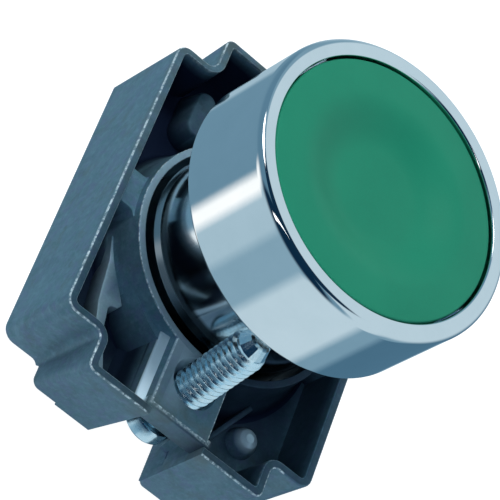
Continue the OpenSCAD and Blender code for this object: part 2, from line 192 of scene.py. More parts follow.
def lathe(profile, segments=192, closed=True):
    """Points and faces of a profile of (r, z) turned about the z axis. An open profile ends on the axis."""
    n = len(profile)
    verts, faces = [], []
    for k in range(segments):
        a = 2 * math.pi * k / segments
        c, s = math.cos(a), math.sin(a)
        verts += [(r * c, r * s, z) for r, z in profile]
    last = n if closed else n - 1
    for k in range(segments):
        b0, b1 = k * n, ((k + 1) % segments) * n
        for i in range(last):
            j = (i + 1) % n
            quad = [b0 + i, b1 + i, b1 + j, b0 + j]
            if profile[i][0] < 1e-6:
                quad = [b0 + i, b1 + j, b0 + j]
            elif profile[j][0] < 1e-6:
                quad = [b0 + i, b1 + i, b0 + j]
            faces.append(quad)
    return verts, faces


def extrude(outline, z0, z1, edge=0.12, steps=2):
    """A closed 2D outline as a solid between two heights, with rounded edges."""
    pts = np.array(outline, float)
    area = 0.5 * float(np.sum(pts[:, 0] * np.roll(pts[:, 1], -1) - np.roll(pts[:, 0], -1) * pts[:, 1]))
    if area < 0:
        pts = pts[::-1]
    n = len(pts)
    before, after = pts - np.roll(pts, 1, 0), np.roll(pts, -1, 0) - pts
    before /= np.linalg.norm(before, axis=1)[:, None]
    after /= np.linalg.norm(after, axis=1)[:, None]
    nb, na = np.c_[-before[:, 1], before[:, 0]], np.c_[-after[:, 1], after[:, 0]]
    inward = nb + na
    inward /= np.maximum((inward * na).sum(1), 0.35)[:, None]
    levels = []
    for i in range(steps + 1):
        a = math.pi / 2 * i / steps
        levels.append((edge * (1 - math.sin(a)), z0 + edge * (1 - math.cos(a))))
    for i in range(steps, -1, -1):
        a = math.pi / 2 * i / steps
        levels.append((edge * (1 - math.sin(a)), z1 - edge * (1 - math.cos(a))))
    verts, faces = [], []
    for inset, z in levels:
        verts += [(x, y, z) for x, y in pts + inward * inset]
    for k in range(len(levels) - 1):
        for i in range(n):
            j = (i + 1) % n
            faces.append([k * n + i, k * n + j, (k + 1) * n + j, (k + 1) * n + i])
    faces.append(list(range(n))[::-1])
    faces.append([(len(levels) - 1) * n + i for i in range(n)])
    return verts, faces


def move(shape, matrix):
    verts, faces = shape
    return [tuple(matrix @ Vector(v)) for v in verts], faces


def join(*shapes):
    verts, faces = [], []
    for v, f in shapes:
        base = len(verts)
        verts += list(v)
        faces += [[base + i for i in face] for face in f]
    return verts, faces


def box_shape(lo, hi, edge=0.1):
    x0, y0, z0 = lo
    x1, y1, z1 = hi
    e = edge * 1.3
    return extrude(rounded([(x0, y0, e), (x1, y0, e), (x1, y1, e), (x0, y1, e)], 3), z0, z1, edge, 2)


# ---------------------------------------------------------------- materials

class Nodes:
    """A short way to write a material's node tree."""

    def __init__(self, name):
        self.material = bpy.data.materials.new(name)
        self.material.use_nodes = True
        self.tree = self.material.node_tree
        self.shader = self.tree.nodes["Principled BSDF"]
        self.coords = self.tree.nodes.new("ShaderNodeTexCoord").outputs["Object"]
        split = self.tree.nodes.new("ShaderNodeSeparateXYZ")
        self.link(self.coords, split.inputs[0])
        self.height = split.outputs["Z"]

    def set(self, **values):
        for key, value in values.items():
            self.shader.inputs[key.replace("_", " ")].default_value = value

    def new(self, kind, **settings):
        node = self.tree.nodes.new(kind)
        for key, value in settings.items():
            setattr(node, key, value)
        return node

    def link(self, a, b):
        self.tree.links.new(a, b)

    def noise(self, scale, detail=4.0, rough=0.55, stretch=(1, 1, 1), distortion=0.0):
        mapping = self.new("ShaderNodeMapping")
        mapping.inputs["Scale"].default_value = stretch
        self.link(self.coords, mapping.inputs["Vector"])
        node = self.new("ShaderNodeTexNoise")
        node.inputs["Scale"].default_value = scale
        node.inputs["Detail"].default_value = detail
        node.inputs["Roughness"].default_value = rough
        node.inputs["Distortion"].default_value = distortion
        self.link(mapping.outputs[0], node.inputs["Vector"])
        return node.outputs["Fac"]

    def span(self, source, a0, a1, b0, b1, smooth=True):
        node = self.new("ShaderNodeMapRange")
        if smooth:
            node.interpolation_type = "SMOOTHSTEP"
        for key, value in (("From Min", a0), ("From Max", a1), ("To Min", b0), ("To Max", b1)):
            node.inputs[key].default_value = value
        self.link(source, node.inputs["Value"])
        return node.outputs["Result"]

    def ramp(self, source, stops):
        node = self.new("ShaderNodeValToRGB")
        while len(node.color_ramp.elements) < len(stops):
            node.color_ramp.elements.new(0.5)
        for element, (pos, colour) in zip(node.color_ramp.elements, stops):
            element.position = pos
            element.color = (*colour, 1)
        self.link(source, node.inputs["Fac"])
        return node.outputs["Color"]

    def mix(self, fac, a, b):
        node = self.new("ShaderNodeMix")
        node.data_type = "RGBA"
        self.link(fac, node.inputs[0])
        for socket, value in ((node.inputs[6], a), (node.inputs[7], b)):
            if isinstance(value, tuple):
                socket.default_value = (*value, 1)
            else:
                self.link(value, socket)
        return node.outputs[2]

    def math(self, operation, a, b=None):
        node = self.new("ShaderNodeMath")
        node.operation = operation
        for socket, value in zip(node.inputs, (a, b)):
            if value is None:
                continue
            if isinstance(value, (int, float)):
                socket.default_value = value
            else:
                self.link(value, socket)
        return node.outputs[0]

    def attribute(self, name):
        node = self.new("ShaderNodeAttribute")
        node.attribute_name = name
        return node.outputs["Fac"]

    def bump(self, height, strength, distance, after=None):
        node = self.new("ShaderNodeBump")
        node.inputs["Strength"].default_value = strength
        node.inputs["Distance"].default_value = distance
        self.link(height, node.inputs["Height"])
        if after is not None:
            self.link(after, node.inputs["Normal"])
        self.link(node.outputs[0], self.shader.inputs["Normal"])
        return node.outputs[0]

    def to(self, socket, source):
        self.link(source, self.shader.inputs[socket])


def chrome():
    m = Nodes("chrome")
    m.set(Metallic=1.0, IOR=1.5)
    cloud = m.noise(220, 3, 0.6)
    polished = m.ramp(cloud, [(0.3, (0.82, 0.86, 0.87)), (0.7, (0.87, 0.90, 0.91))])
    neck = m.span(m.height, -0.0008, -0.0001, 1.0, 0.0)
    bright = m.mix(neck, polished, (0.78, 0.86, 0.90))
    # painted shade and painted dark reflection: this attribute mixes the chrome of the neck toward near black
    m.to("Base Color", m.mix(m.attribute("neck_shade"), bright, (0.02, 0.03, 0.035)))
    buffed = m.span(m.noise(900, 4, 0.6), 0.3, 0.75, 0.025, 0.06)
    m.to("Roughness", m.math("ADD", buffed, m.math("MULTIPLY", neck, 0.10)))
    m.bump(m.noise(2600, 3, 0.6), 0.04, 0.00002)
    return m.material


def green_cap():
    m = Nodes("green_cap")
    m.set(IOR=1.46, Metallic=0.0)
    broad = m.noise(160, 3, 0.5)
    fine = m.noise(6500, 3, 0.7)
    base = m.ramp(broad, [(0.3, (0.009, 0.204, 0.111)), (0.7, (0.012, 0.228, 0.124))])
    m.to("Base Color", m.mix(m.span(fine, 0.42, 0.62, 0.0, 0.3), base, (0.018, 0.262, 0.148)))
    m.to("Roughness", m.span(fine, 0.3, 0.7, 0.46, 0.58))
    m.bump(m.noise(5200, 4, 0.6), 0.22, 0.00003)
    return m.material


def zinc():
    m = Nodes("zinc_casting")
    m.set(IOR=1.6, Metallic=0.5)
    broad = m.noise(130, 5, 0.6, distortion=0.3)
    patches = m.noise(420, 4, 0.6, distortion=0.6)
    streaks = m.noise(1500, 3, 0.6)
    grain = m.noise(3800, 3, 0.7)
    base = m.ramp(broad, [(0.25, (0.090, 0.194, 0.264)), (0.5, (0.102, 0.212, 0.280)),
                          (0.75, (0.114, 0.232, 0.292))])
    base = m.mix(m.span(patches, 0.48, 0.70, 0.0, 0.6), base, (0.100, 0.172, 0.185))
    cloudy = m.noise(260, 5, 0.65, stretch=(1.0, 1.0, 0.55), distortion=0.4)
    base = m.mix(m.span(cloudy, 0.46, 0.70, 0.0, 0.55), base, (0.066, 0.140, 0.196))
    violet, teal = m.noise(900, 4, 0.6), m.noise(1150, 4, 0.6, distortion=0.5)
    base = m.mix(m.span(violet, 0.48, 0.64, 0.0, 0.65), base, (0.118, 0.170, 0.300))
    base = m.mix(m.span(teal, 0.50, 0.66, 0.0, 0.6), base, (0.062, 0.190, 0.215))
    base = m.mix(m.span(streaks, 0.45, 0.75, 0.0, 0.5), base, (0.160, 0.320, 0.400))
    base = m.mix(m.span(grain, 0.35, 0.7, 0.0, 0.25), base, (0.17, 0.31, 0.37))
    stained = m.math("MULTIPLY", m.attribute("stain"), m.span(patches, 0.34, 0.58, 0.35, 1.0))
    base = m.mix(stained, base, (0.128, 0.165, 0.150))
    # painted shade: the depth attribute darkens the collar's hollows and shaded sides toward near black
    base = m.mix(m.attribute("depth"), base, (0.007, 0.013, 0.032))
    # painted highlight with a satin rub: lit faces, the boss's chamfer strip, the peg top and the ring rim
    # lightened toward pale blue; the rub also lowers the roughness further down
    highlight_and_satin = m.attribute("highlight_and_satin")
    base = m.mix(highlight_and_satin, base, (0.74, 0.92, 1.0))
    # bright worn edges, kept only where light falls, so partly real wear and partly a painted glint
    wear_and_glint = m.math("MULTIPLY", m.attribute("edge"), m.span(m.noise(2600, 3, 0.6), 0.42, 0.62, 0.10, 0.85))
    # the painted shade also takes the reflections out of the darkened places
    m.to("Specular IOR Level", m.span(m.attribute("depth"), 0.0, 1.0, 0.5, 0.04, smooth=False))
    m.to("Base Color", m.mix(wear_and_glint, base, (0.80, 0.92, 0.94)))
    polish = m.math("MAXIMUM", highlight_and_satin, m.math("MULTIPLY", wear_and_glint, 1.4))
    matt = m.span(patches, 0.3, 0.7, 0.44, 0.56)
    m.to("Roughness", m.math("SUBTRACT", matt, m.math("MULTIPLY", polish, 0.18)))
    soft = m.bump(m.noise(900, 4, 0.6), 0.14, 0.00008)
    m.bump(grain, 0.2, 0.00002, after=soft)
    return m.material


def plated():
    m = Nodes("plated_steel")
    m.set(Metallic=1.0, IOR=1.5)
    tone = m.noise(700, 4, 0.6)
    base = m.ramp(tone, [(0.3, (0.62, 0.84, 0.95)), (0.7, (0.88, 0.98, 1.0))])
    m.to("Base Color", base)
    m.to("Roughness", m.span(m.noise(1800, 4, 0.6), 0.3, 0.7, 0.14, 0.28))
    m.bump(m.noise(2400, 4, 0.7), 0.35, 0.00005)
    return m.material


def spring_steel():
    m = Nodes("spring_steel")
    m.set(Metallic=1.0, IOR=1.5)
    m.to("Base Color", m.ramp(m.noise(500, 4, 0.6), [(0.3, (0.30, 0.31, 0.33)), (0.7, (0.46, 0.47, 0.49))]))
    m.to("Roughness", m.span(m.noise(1500, 4, 0.6), 0.3, 0.7, 0.25, 0.42))
    m.bump(m.noise(2800, 3, 0.6), 0.08, 0.00003)
    return m.material


def rubber():
    m = Nodes("black_rubber")
    m.set(IOR=1.5)
    tone = m.noise(600, 4, 0.6)
    m.to("Base Color", m.ramp(tone, [(0.3, (0.012, 0.012, 0.013)), (0.7, (0.026, 0.027, 0.028))]))
    m.to("Roughness", m.span(m.noise(1500, 4, 0.6), 0.3, 0.7, 0.6, 0.8))
    m.bump(m.noise(4200, 4, 0.7), 0.25, 0.00004)
    return m.material


def nylon():
    m = Nodes("white_nylon")
    m.set(IOR=1.5)
    m.to("Base Color", m.ramp(m.noise(400, 4, 0.6), [(0.3, (0.60, 0.60, 0.55)), (0.7, (0.68, 0.68, 0.64))]))
    m.to("Roughness", m.span(m.noise(1200, 4, 0.6), 0.3, 0.7, 0.4, 0.55))
    m.bump(m.noise(3600, 4, 0.6), 0.12, 0.00003)
    return m.material


def dark_plastic():
    m = Nodes("dark_plastic")
    m.set(IOR=1.5)
    tone = m.noise(500, 4, 0.6)
    m.to("Base Color", m.ramp(tone, [(0.3, (0.020, 0.021, 0.023)), (0.7, (0.036, 0.038, 0.040))]))
    m.to("Roughness", m.span(m.noise(1800, 4, 0.6), 0.3, 0.7, 0.42, 0.6))
    m.bump(m.noise(5200, 4, 0.7), 0.22, 0.00003)
    return m.material


LOOK = {"chrome": chrome(), "green_cap": green_cap(), "zinc_casting": zinc(), "plated_steel": plated(),
        "spring_steel": spring_steel(), "black_rubber": rubber(), "white_nylon": nylon(),
        "dark_plastic": dark_plastic()}

for entry in frame["record"]["subparts"]:
    node = frame["nodes"][entry["node"]]
    node.data.materials.clear()
    node.data.materials.append(LOOK[entry["material_slot"]])


# ---------------------------------------------------------------- operator head

def make_bezel():
    r, h = 14.75, 10.5
    waist = [(10.6 - 0.45 * ((z + 7.0) / 7.0) ** 1.5, z, 0.0) for z in np.linspace(-7.0, -0.5, 9)]
    waist = [(10.6, -8.0, 0.0), (10.6, -8.5, 0.0), (10.6, -9.2, 0.0)][::-1] + waist
    profile = rounded(waist + [
        (10.14, 0.0, 0.15), (11.9, 0.0, 0.05), (11.9, 0.6, 0.05), (13.7, 0.6, 0.05), (13.7, 0.0, 0.05),
        (r, 0.0, 0.35), (r, h, 0.75), (12.95, h, 0.18), (12.95, 3.0, 0.2), (9.6, 3.0, 0.15),
        (9.6, -13.4, 0.05), (10.05, -13.4, 0.03), (10.05, -14.4, 0.03), (9.6, -14.4, 0.05),
        (9.6, -20.1, 0.12), (11.1, -20.1, 0.35), (11.1, -19.1, 0.06), (10.2, -19.1, 0.06),
        (10.2, -17.3, 0.06), (10.9, -17.3, 0.06), (10.9, -10.0, 0.12), (10.6, -9.40, 0.10)], 6, 0.05)
    body = piece("bezel", *lathe(profile, 256), "head", "chrome", LOOK["chrome"], 30, ("bezel_body",))
    # entries of the bayonet
    cutters = []
    for i in range(3):
        mid = 105 + i * 120
        shape_verts, shape_faces = [], []
        a0, a1, n = math.radians(mid - 14), math.radians(mid + 14), 14
        for k in range(n + 1):
            a = a0 + (a1 - a0) * k / n
            for rad, z in ((10.25, -21), (12.5, -21), (12.5, -18.6), (10.25, -18.6)):
                shape_verts.append((rad * math.cos(a), rad * math.sin(a), z))
        for k in range(n):
            for j in range(4):
                jj = (j + 1) % 4
                shape_faces.append([k * 4 + j, k * 4 + jj, (k + 1) * 4 + jj, (k + 1) * 4 + j])
        shape_faces += [[3, 2, 1, 0], [n * 4, n * 4 + 1, n * 4 + 2, n * 4 + 3]]
        cutters.append((shape_verts, shape_faces))
    cut(body, join(*cutters))
    body.data.shade_smooth()
    body.data.set_sharp_from_angle(angle=math.radians(30))
    co = points(body)
    around = np.degrees(np.arctan2(co[:, 1], co[:, 0])) % 360
    # painted shade on the neck: a dark band from z -8 to -9.35, the shoulder below z -9.1 from 222 degrees
    # round to 360, and a half-dark band down to -10.2
    neck_shade = smooth(co[:, 2], -9.1, -9.4) * smooth(around, 222, 250)
    neck_shade = np.maximum(neck_shade, 0.9 * smooth(co[:, 2], -8.0, -8.5) * smooth(co[:, 2], -9.35, -9.2))
    neck_shade = np.maximum(neck_shade, 0.5 * ((co[:, 2] < -9.3) & (co[:, 2] > -10.2)))
    body.data.attributes.new("neck_shade", "FLOAT", "POINT").data.foreach_set("value", neck_shade)
    return body


def points(obj):
    co = np.empty(len(obj.data.vertices) * 3)
    obj.data.vertices.foreach_get("co", co)
    return co.reshape(-1, 3) / MM


def smooth(v, a, b):
    t = np.clip((v - a) / (b - a), 0, 1)
    return t * t * (3 - 2 * t)


def cut(obj, shape, operation="DIFFERENCE"):
    mesh = bpy.data.meshes.new("cutter")
    mesh.from_pydata([Vector(v) * MM for v in shape[0]], [], shape[1])
    bm = bmesh.new()
    bm.from_mesh(mesh)
    bmesh.ops.remove_doubles(bm, verts=bm.verts, dist=1e-7)
    bmesh.ops.recalc_face_normals(bm, faces=bm.faces)
    bm.to_mesh(mesh)
    bm.free()
    tool = bpy.data.objects.new("cutter", mesh)
    scene.collection.objects.link(tool)
    with_modifiers(obj, ("BOOLEAN", {"operation": operation, "object": tool, "solver": "EXACT"}))
    bpy.data.objects.remove(tool)
    return obj


def make_cap():
    top, edge, corner = 10.4, 12.74, 0.22
    flat, rim, depth, crown = 4.4, 9.6, 1.40, 0.18

    def drop(r):
        if r <= flat:
            return depth
        if r >= rim:
            return crown * ((r - rim) / (edge - rim)) ** 2
        return depth * (1 + math.cos(math.pi * (r - flat) / (rim - flat))) / 2

    profile = [(0.0, top - depth)]
    profile += [(r, top - drop(r)) for r in np.linspace(0.6, edge - corner, 52)]
    low = top - drop(edge - corner)
    profile += [(edge - corner + corner * math.sin(a), low - corner + corner * math.cos(a))
                for a in np.linspace(math.radians(16), math.pi / 2, 7)]
    profile += [(edge, 8.4), (edge - 0.1, 8.3), (edge - 1.0, 8.3), (edge - 1.05, 8.35), (edge - 1.05, 8.6),
                (6.2, 8.6), (6.2, 5.7), (6.1, 5.6), (5.2, 5.6), (5.15, 5.7), (5.15, 8.6), (0.0, 8.6)]
    return piece("cap", *lathe(profile, 192, closed=False), "button", "green_cap", LOOK["green_cap"], 30,
                 ("push_cap",))


# ---------------------------------------------------------------- clamp screw

TILT = math.radians(12)
SCREW = Matrix.Translation((0, -15.18, -10.4)) @ Matrix.Rotation(-TILT, 4, "X")


def thread(r_top, r_root, pitch, start, end, around=56):
    """A helical thread as a grid sheared along the helix, tapering out at its free end."""
    rows = [(0.0, r_root), (0.08, r_root), (0.14, r_root + 0.05), (0.46, r_top - 0.03), (0.50, r_top),
            (0.58, r_top), (0.62, r_top - 0.03), (0.94, r_root + 0.05)]
    per = len(rows)
    turns = int((end - start) / pitch) + 3
    verts, faces = [], []
    for j in range(around):
        for k in range(turns * per):
            s = start - pitch + (k // per + rows[k % per][0] + j / around) * pitch
            r = rows[k % per][1]
            limit = r_top - max(0.0, s - (end - 0.45)) * 1.1
            r = max(min(r, limit), r_root - 0.05)
            s = min(max(s, start), end)
            a = 2 * math.pi * j / around
            verts.append((r * math.cos(a), r * math.sin(a), s))
    n = turns * per
    for j in range(around):
        shift = per if j == around - 1 else 0
        nxt = (j + 1) % around
        for k in range(n - 1 - shift):
            faces.append([j * n + k, nxt * n + k + shift, nxt * n + k + 1 + shift, j * n + k + 1])
    return verts, faces


def make_screw():
    core = [(0.0, -7.2), (1.9, -7.2), (2.35, -7.1), (2.5, -6.9), (2.5, -5.55), (2.4, -5.4), (1.56, -5.4),
            (1.56, -5.3), (1.56, 8.0), (1.5, 8.05), (0.0, 8.05)]
    head = lathe(core, 72, closed=False)
    ridge = thread(2.02, 1.54, 0.7, -5.2, 8.0)
    facets = 15
    point = [(1.72, 7.75), (1.72, 8.0), (1.22, 9.1), (0.95, 9.3), (0.0, 9.3)]
    verts, faces = lathe([(0.0, 7.75)] + point, facets, closed=False)
    obj = piece("screw", *move(join(head, ridge), SCREW), "screw", "plated_steel", LOOK["plated_steel"], 34,
                ("clamp_screw",))
    piece("screw_point", *move((verts, faces), SCREW), "screw", "plated_steel", LOOK["plated_steel"], 5)
    # a cross recess with a slot across it
    arms = [box_shape((-1.45, -0.28, -8), (1.45, 0.28, -6.3), 0.05),
            box_shape((-0.28, -1.45, -8), (0.28, 1.45, -6.3), 0.05)]
    turn = Matrix.Rotation(math.radians(45), 4, "Z")
    for arm in arms:
        cut(obj, move(arm, SCREW @ turn))
    cut(obj, move(box_shape((-3, -0.3, -8), (3, 0.3, -6.75), 0.05), SCREW))
    obj.data.shade_smooth()
    obj.data.set_sharp_from_angle(angle=math.radians(34))
    return obj


# ---------------------------------------------------------------- fixing collar

FRONT, REAR, FLOOR = -10.4, -21.4, -16.4
DEPTH = FRONT - REAR
WALL = 0.9


def collar_path(inset, back):
    """The outline as (x, y, radius) corners, inset into the wall; back is 0 in front and 1 at the rear."""
    w = 15.2 - inset - 0.1 * back
    s = 10.7 - inset - 0.1 * back
    rb = 16.7 - inset - 0.95 * back
    pl = 20.8 - inset - 2.31 * back
    pr = 20.8 - inset - 0.33 * back
    top = inset * 0.8 + 0.45 * back
    rt, pt = 17.4 - top, 22.0 - top
    convex, concave, nose = max(1.4 - inset, 0.45), 0.8 + inset, max(0.9 - inset, 0.35)
    corners = [(-w, -rb, convex), (-s, -rb, concave), (-s, -pl, nose), (-3.2, -pl, 0), (3.2, -pr, 0),
               (s, -pr, nose), (s, -rb, concave), (w, -rb, convex), (w, rt, convex), (s, rt, concave + 0.3),
               (s, pt, nose), (-s, pt, nose), (-s, rt, concave + 0.3),
               (-w - 0.1 * back, rt + 0.2 * back, max(convex - 1.0 * back, 0.25))]
    return corners


def wall_loops(inset, steps=6):
    """The open run of wall from the slot's right side round to its left, at the front and at the rear rim."""
    out = []
    for back in (0.0, 1.0):
        corners = collar_path(inset, back)
        n = len(corners)
        run = []
        for i in list(range(5, n)) + [0, 1, 2]:
            p, q, s = corners[i - 1], corners[i], corners[(i + 1) % n]
            run.append([np.array(v) for v in arc_corner(p[:2], q[:2], s[:2], q[2], steps)])
        first, last = np.array(corners[4][:2]), np.array(corners[3][:2])
        pts = [first]
        for group in run:
            pts += group
        pts.append(last)
        out.append(pts)
    return out


def densify(loops, marks):
    """Adds the same extra stations to every loop: marks is a list of (segment, share)."""
    done = []
    for pts in loops:
        new = []
        for i, p in enumerate(pts):
            new.append(p)
            for seg, share in marks:
                if seg == i:
                    new.append(p * (1 - share) + pts[i + 1] * share)
        done.append(new)
    return done


def rear_height(x, y):
    """How far back the wall reaches at a point of its outline."""
    if y < -17.2:
        if x > 0:
            return -20.5 + 0.55 * max(0.0, (3.9 - x) / 0.7) ** 2
        return -20.85 if x < -7.45 else -21.3
    if y > 20 and abs(x) < 9.4:
        return -17.1
    return REAR


def collar_wall():
    e_out, e_in, arc = 0.2, 0.13, 3
    base = wall_loops(0.0)[0]
    # stations where the rear edge steps: on the lower left wall and at the lever's window
    marks = []
    for i in range(len(base) - 1):
        a, b = base[i], base[i + 1]
        if abs(b[0] - a[0]) < 2:
            continue
        for x in (-7.40, -7.50, 3.35, 3.6, 3.9, -9.45, -9.35, 9.35, 9.45):
            lower = a[1] < -20 and abs(x) < 8
            upper = a[1] > 21 and abs(x) > 8
            if (lower or upper) and min(a[0], b[0]) < x < max(a[0], b[0]):
                marks.append((i, (x - a[0]) / (b[0] - a[0])))
        for share in np.linspace(0.1, 0.9, 9):
            marks.append((i, float(share)))
    marks = sorted(set((i, round(s, 5)) for i, s in marks))
    base = densify([base], marks)[0]
    heights = [rear_height(p[0], p[1]) for p in base]
    levels = []
    for k in range(arc + 1):
        a = math.pi / 2 * k / arc
        levels.append((e_out * (1 - math.sin(a)), "front", e_out * (1 - math.cos(a))))
    levels += [(0.0, "front", off) for off in (1.0, 2.2, 3.6, 5.0)]
    for k in range(arc, -1, -1):
        a = math.pi / 2 * k / arc
        levels.append((e_out * (1 - math.sin(a)), "rear", e_out * (1 - math.cos(a))))
    for k in range(arc + 1):
        a = math.pi / 2 * k / arc
        levels.append((WALL - e_in * (1 - math.sin(a)), "rear", e_in * (1 - math.cos(a))))
    levels += [(WALL, "front", off) for off in (5.0, 3.6, 2.6, 1.8, 1.1, 0.5)]
    for k in range(arc, -1, -1):
        a = math.pi / 2 * k / arc
        levels.append((WALL - e_in * (1 - math.sin(a)), "front", e_in * (1 - math.cos(a))))
    verts, count = [], len(base)
    for inset, end, off in levels:
        front, back = densify(wall_loops(inset), marks)
        for i in range(count):
            z = FRONT - off if end == "front" else heights[i] + off
            t = (FRONT - z) / DEPTH
            p = front[i] * (1 - t) + back[i] * t
            verts.append((p[0], p[1], z))
    faces, n = [], len(levels)
    for k in range(n):
        kk = (k + 1) % n
        for i in range(count - 1):
            faces.append([k * count + i, k * count + i + 1, kk * count + i + 1, kk * count + i])
    faces.append([k * count for k in range(n)])
    faces.append([k * count + count - 1 for k in range(n)][::-1])
    return verts, faces


def collar_ring():
    """The ring round the neck, with its flank flaring out to the floor."""
    profile = rounded([(11.53, FRONT - 0.2, 0), (11.53, FRONT, 0.14),
                       (12.27, FRONT, 0.12), (12.29, FRONT - 0.2, 0),
                       (12.45, -12.2, 0), (12.62, -14.2, 6.0), (13.5, -16.38, 0.8),
                       (14.2, FLOOR, 0.3), (14.2, -17.4, 0.1), (11.53, -17.4, 0.1)], 6)
    return lathe(profile, 192)


def collar_floor():
    outline = rounded(collar_path(WALL - 0.35, 0.58), 4)
    sides, hole_r = 96, 13.0
    turns = [2 * math.pi * i / sides for i in range(sides)]
    hole = [(hole_r * math.cos(a), hole_r * math.sin(a)) for a in turns]
    mesh = bmesh.new()
    loops = []
    for pts in (outline, hole):
        vs = [mesh.verts.new((p[0], p[1], FLOOR)) for p in pts]
        for i in range(len(vs)):
            mesh.edges.new((vs[i], vs[(i + 1) % len(vs)]))
        loops.append(vs)
    bmesh.ops.triangle_fill(mesh, edges=mesh.edges[:], use_beauty=True)
    mesh.verts.index_update()
    top = [tuple(v.co) for v in mesh.verts]
    tris = [[v.index for v in f.verts] for f in mesh.faces]
    edge_loops = [[v.index for v in loop] for loop in loops]
    mesh.free()
    count = len(top)
    verts = top + [(x, y, FLOOR - 1.0) for x, y, _ in top]
    faces = tris + [[i + count for i in t[::-1]] for t in tris]
    for loop in edge_loops:
        for i in range(len(loop)):
            a, b = loop[i], loop[(i + 1) % len(loop)]
            faces.append([a, b, b + count, a + count])
    return verts, faces


def collar_boss():
    """The screw's block: a section across X and Z carried along Y from the ring to the bar."""
    front = FRONT - 0.01
    section = rounded([(3.4, front, 0.18), (-3.4, front, 0.12), (-3.88, front - 0.75, 0.15),
                       (-4.74, front - 1.2, 0.3),
                       (-5.2, -15.6, 0.8), (-6.0, FLOOR - 0.04, 0), (3.7, FLOOR - 0.04, 0)], 4)
    section = resample(section, 0.14)
    shape = extrude([(x, z) for x, z in section], -19.3, -11.2, 0.02, 1)
    flip = Matrix(((1, 0, 0, 0), (0, 0, 1, 0), (0, 1, 0, 0), (0, 0, 0, 1)))
    return move(shape, flip)


def barrel(r0, r1, z0, z1, segments=64):
    """A plain cone frustum about the z axis."""
    return lathe([(0.0, z0), (r0, z0), (r1, z1), (0.0, z1)], segments, closed=False)


def saddle():
    """The filled corner between the ring and the screw's block on the rib's side."""
    around, verts, faces = 24, [], []
    for i in range(around + 1):
        share = i / around
        a = math.radians(226 + 27 * share)
        grow = share * share * (3 - 2 * share)
        for r, z in ((12.0, -12.4), (12.42, -12.2), (12.5, -13.0), (13.4, -16.6), (12.0, -16.6)):
            out = r + grow * (0.94 if r > 12.1 else 0.0) * (1.0 if z > -16 else 0.6)
            verts.append((out * math.cos(a), out * math.sin(a), z + (0.6 * grow if z > -16 else 0)))
    n = 5
    for i in range(around):
        for k in range(n):
            kk = (k + 1) % n
            faces.append([i * n + k, (i + 1) * n + k, (i + 1) * n + kk, i * n + kk])
    faces += [list(range(n))[::-1], [around * n + k for k in range(n)]]
    return verts, faces


def collar_webs():
    shapes = [saddle()]
    for side in (-1, 1):
        outline = rounded([(-14.7, -2.95, 0), (-14.25, -2.35, 0.7), (-12.6, -2.35, 0.7), (-11.9, -3.1, 0),
                           (-11.9, 2.6, 0), (-12.4, 1.75, 0.6), (-14.2, 1.75, 0.6), (-14.7, 2.4, 0)], 4)
        turn = Matrix.Rotation(0 if side < 0 else math.pi, 4, "Z")
        shapes.append(move(extrude(outline, FLOOR - 0.3, -11.35, 0.14, 2), turn))
    rib = rounded([(-12.1, -4.2, 0), (-11.35, -6.6, 0.4), (-10.75, -11.2, 1.5), (-10.0, -13.7, 2.0),
                   (-7.95, -18.6, 0), (-7.1, -18.3, 0),
                   (-9.1, -13.4, 2.0), (-9.55, -10.95, 0.5), (-8.6, -10.65, 0.15),
                   (-8.25, -10.05, 0.15), (-9.6, -8.2, 0.5), (-11.2, -4.0, 0)], 4)
    shapes.append(extrude(rib, FLOOR - 0.3, -14.0, 0.12, 2))
    ridge = rounded([(5.1, -15.7, 0), (5.6, -16.0, 0), (8.8, -9.9, 0), (8.3, -9.6, 0)], 2)
    shapes.append(extrude(ridge, FLOOR - 0.3, -14.3, 0.2, 2))
    shapes.append(box_shape((-4.1, -18.6, -20.5), (-3.205, -15.4, -11.6), 0.02))
    shapes.append(box_shape((3.205, -20.3, -20.25), (4.1, -15.4, -16.85), 0.01))
    shapes.append(box_shape((3.205, -20.3, -16.84), (4.1, -19.0, -12.6), 0.01))
    return join(*shapes)


def collar_posts():
    post = lathe(rounded_open([(0, -16.9, 0), (1.75, -16.9, 0), (1.4, -15.5, 0.3), (1.0, -14.8, 0.25),
                               (0.45, -14.6, 0.2), (0, -14.6, 0)], 5), 48, closed=False)
    round_one = move(post, Matrix.Translation((9.7, -12.6, 0)))
    end_r, reach, arc = 1.75, 1.6, 24
    outline = []
    for start, centre in ((0.0, reach), (math.pi, -reach)):
        for k in range(arc + 1):
            a = start + math.pi * k / arc
            outline.append((end_r * math.cos(a), centre + end_r * math.sin(a)))
    verts, faces = extrude(outline, FLOOR - 0.4, -13.7, 0.3, 3)
    slim = []
    for x, y, z in verts:
        t = max(0.0, min(1.0, (z - FLOOR) / 2.6))
        k = 1 - 0.34 * t
        middle = max(-reach, min(reach, y))
        slim.append((x * k, middle + (y - middle) * k, z))
    long_one = move((slim, faces), Matrix.Translation((-8.6, 14.7, 0)))
    return join(round_one, long_one)


def shade(obj, rule):
    """Gives every vertex its painted shade, by how deep and how shaded its place in the collar is (depth),
    how much it is worn bright along an edge, which partly stands for a painted glint (edge), its painted
    highlight with a satin rub (highlight_and_satin) and how stained it is (stain)."""
    co = points(obj)
    x, y, z = co.T
    # painted shade by default grows with the depth below the front rim
    values = {"depth": smooth(z, FRONT - 0.4, FRONT - 3.6), "highlight_and_satin": np.zeros(len(co)),
              "edge": ((z < FRONT - 0.015) & (z > FRONT - 0.16)).astype(float),
              "stain": smooth(z, -13.5, -11.5) * smooth(y, -16.5, -18.5) * smooth(np.abs(x), 8.0, 3.0) * 0.55}
    rule(x, y, z, values)
    for name in values:
        obj.data.attributes.new(name, "FLOAT", "POINT").data.foreach_set("value", values[name])


